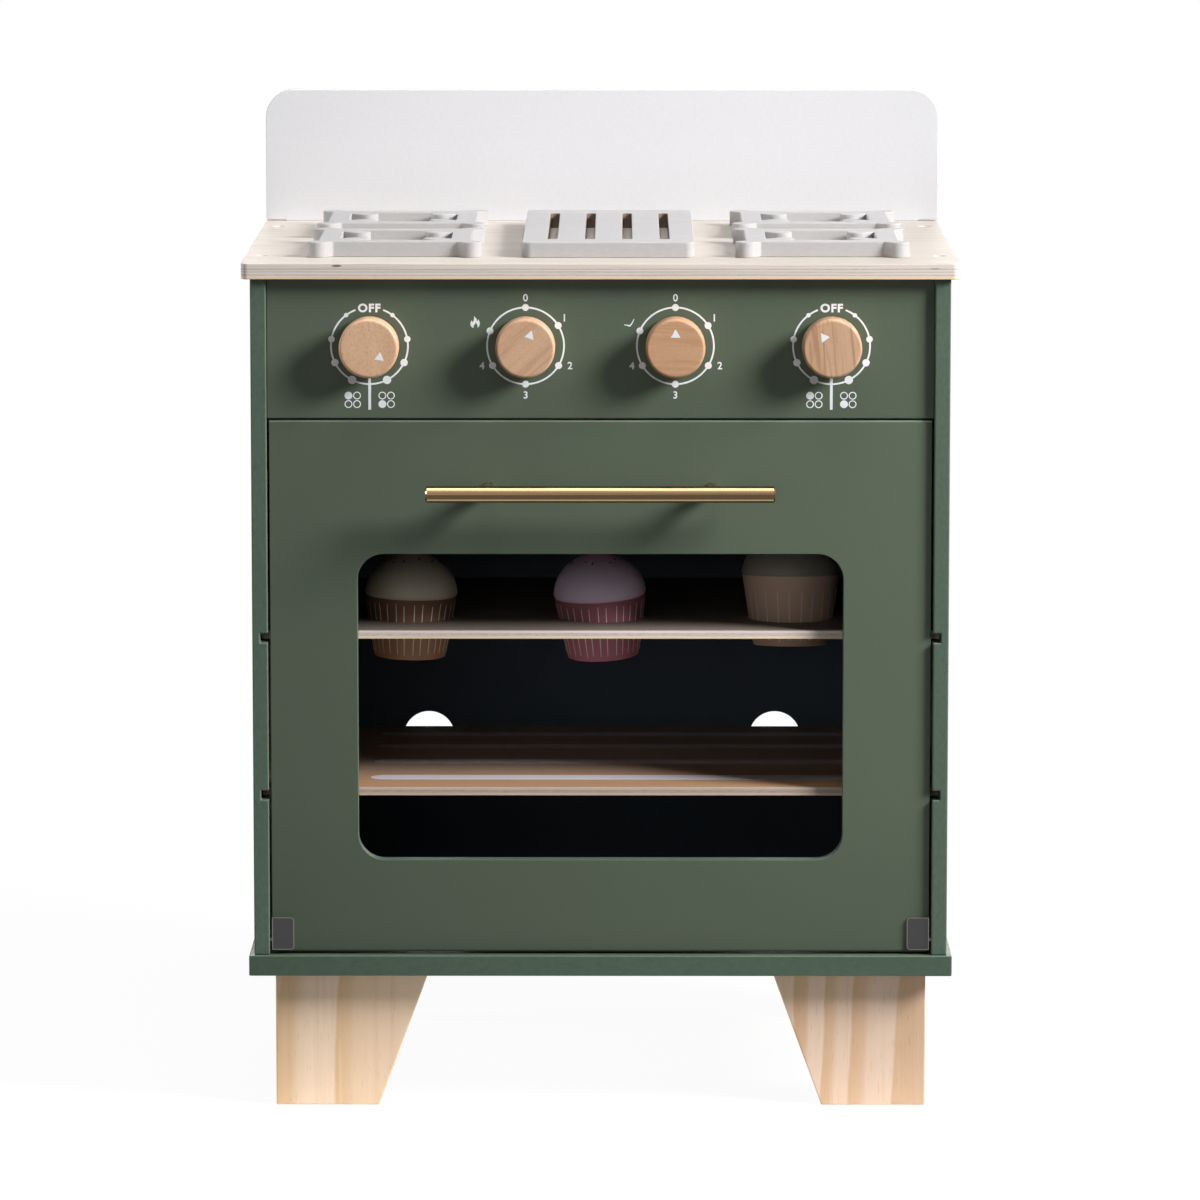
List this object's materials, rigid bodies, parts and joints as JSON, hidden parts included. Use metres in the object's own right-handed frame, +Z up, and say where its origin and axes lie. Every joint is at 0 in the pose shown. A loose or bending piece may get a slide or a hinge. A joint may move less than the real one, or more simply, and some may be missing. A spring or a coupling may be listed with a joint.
{
  "type": "toy oven",
  "caption": "Free-standing wooden toy oven with a hob and backsplash on a plywood counter, turning knobs, a drop-down windowed door, slotted-in shelves and lift-out play cupcakes.",
  "frame": {"origin": "middle of the outline in plan, from the handle to the counter's back edge, on the floor", "axes": "+Z up, +X to the right as seen from the front, -Y towards the viewer who stands at the door"},
  "size_m": [0.41, 0.3235, 0.572],
  "materials": {
    "green_paint": "sage green satin paint on smooth board",
    "white_paint": "white satin paint on smooth board",
    "grey_paint": "pale grey satin paint on smooth board",
    "plywood": "clear lacquered birch plywood with layered edges",
    "beech": "fine sanded beech with a thin oil",
    "pine": "clear lacquered pine with upright grain",
    "back_board": "near black smooth painted board",
    "brass": "brushed",
    "steel": "zinc plated",
    "dark_pad": "grey moulded",
    "nylon": "natural white",
    "tan_wrapper_paint": "tan satin paint with white pleat lines",
    "pink_wrapper_paint": "dusty pink satin paint with white pleat lines",
    "cream_icing_paint": "cream satin paint",
    "lilac_icing_paint": "pale lilac satin paint",
    "berry_paint": "pink red satin paint"
  },
  "bodies": {
    "carcass": {"countertop": "plywood", "backsplash": "white_paint", "left_side_panel": "green_paint", "right_side_panel": "green_paint", "base_board": "green_paint", "control_panel": "green_paint", "back_panel": "back_board", "leg_front_left": "pine", "leg_front_right": "pine", "leg_rear_left": "pine", "leg_rear_right": "pine", "grate_front_left": "grey_paint", "grate_front_right": "grey_paint", "grate_rear_left": "grey_paint", "grate_rear_right": "grey_paint", "griddle": "grey_paint", "counter_screws": "steel", "base_screws": "steel", "leg_screws": "steel", "splash_screws": "steel", "hob_dowels": "beech", "panel_dowels": "beech", "hinge_bushes": "nylon", "catch_block": "beech", "catch_magnet": "steel", "catch_screws": "steel"},
    "door": {"door_panel": "green_paint", "handle_bar": "brass", "handle_posts": "brass", "handle_screws": "steel", "left_hinge_clip": "steel", "right_hinge_clip": "steel", "hinge_pads": "dark_pad", "hinge_pins": "steel", "hinge_screws": "steel", "strike_disc": "steel"},
    "knob_1_turning_parts": {"knob_1": "beech", "knob_1_spindle": "beech", "knob_1_retainer": "steel"},
    "knob_2_turning_parts": {"knob_2": "beech", "knob_2_spindle": "beech", "knob_2_retainer": "steel"},
    "knob_3_turning_parts": {"knob_3": "beech", "knob_3_spindle": "beech", "knob_3_retainer": "steel"},
    "knob_4_turning_parts": {"knob_4": "beech", "knob_4_spindle": "beech", "knob_4_retainer": "steel"},
    "upper_shelf_board": {"upper_shelf": "plywood"},
    "lower_shelf_board": {"lower_shelf": "plywood"},
    "cupcake_left": {"cupcake_left_wrapper": "tan_wrapper_paint", "cupcake_left_icing": "cream_icing_paint", "cupcake_left_berry": "berry_paint"},
    "cupcake_middle": {"cupcake_middle_wrapper": "pink_wrapper_paint", "cupcake_middle_icing": "lilac_icing_paint", "cupcake_middle_berry": "berry_paint"},
    "cupcake_right": {"cupcake_right_wrapper": "tan_wrapper_paint", "cupcake_right_icing": "cream_icing_paint", "cupcake_right_berry": "berry_paint"}
  },
  "joints": [
    {"name": "door_hinge", "type": "hinge", "parent": "carcass", "child": "door", "pos_m": [0, -0.12695, 0.0988], "axis": [1, 0, 0], "range_deg": [0, 90]},
    {"name": "knob_1_turn", "type": "hinge", "parent": "carcass", "child": "knob_1_turning_parts", "pos_m": [-0.132, -0.13025, 0.4443], "axis": [0, 1, 0], "continuous": true},
    {"name": "knob_2_turn", "type": "hinge", "parent": "carcass", "child": "knob_2_turning_parts", "pos_m": [-0.0428, -0.13025, 0.4443], "axis": [0, 1, 0], "continuous": true},
    {"name": "knob_3_turn", "type": "hinge", "parent": "carcass", "child": "knob_3_turning_parts", "pos_m": [0.0428, -0.13025, 0.4443], "axis": [0, 1, 0], "continuous": true},
    {"name": "knob_4_turn", "type": "hinge", "parent": "carcass", "child": "knob_4_turning_parts", "pos_m": [0.132, -0.13025, 0.4443], "axis": [0, 1, 0], "continuous": true},
    {"name": "upper_shelf_slide", "type": "slide", "parent": "carcass", "child": "upper_shelf_board", "axis": [0, -1, 0], "range_m": [0, 0.0018]},
    {"name": "lower_shelf_slide", "type": "slide", "parent": "carcass", "child": "lower_shelf_board", "axis": [0, -1, 0], "range_m": [0, 0.0018]},
    {"name": "cupcake_left_lift", "type": "slide", "parent": "upper_shelf_board", "child": "cupcake_left", "axis": [0, 0, 1], "range_m": [0, 0.06]},
    {"name": "cupcake_middle_lift", "type": "slide", "parent": "upper_shelf_board", "child": "cupcake_middle", "axis": [0, 0, 1], "range_m": [0, 0.06]},
    {"name": "cupcake_right_lift", "type": "slide", "parent": "upper_shelf_board", "child": "cupcake_right", "axis": [0, 0, 1], "range_m": [0, 0.06]}
  ]
}
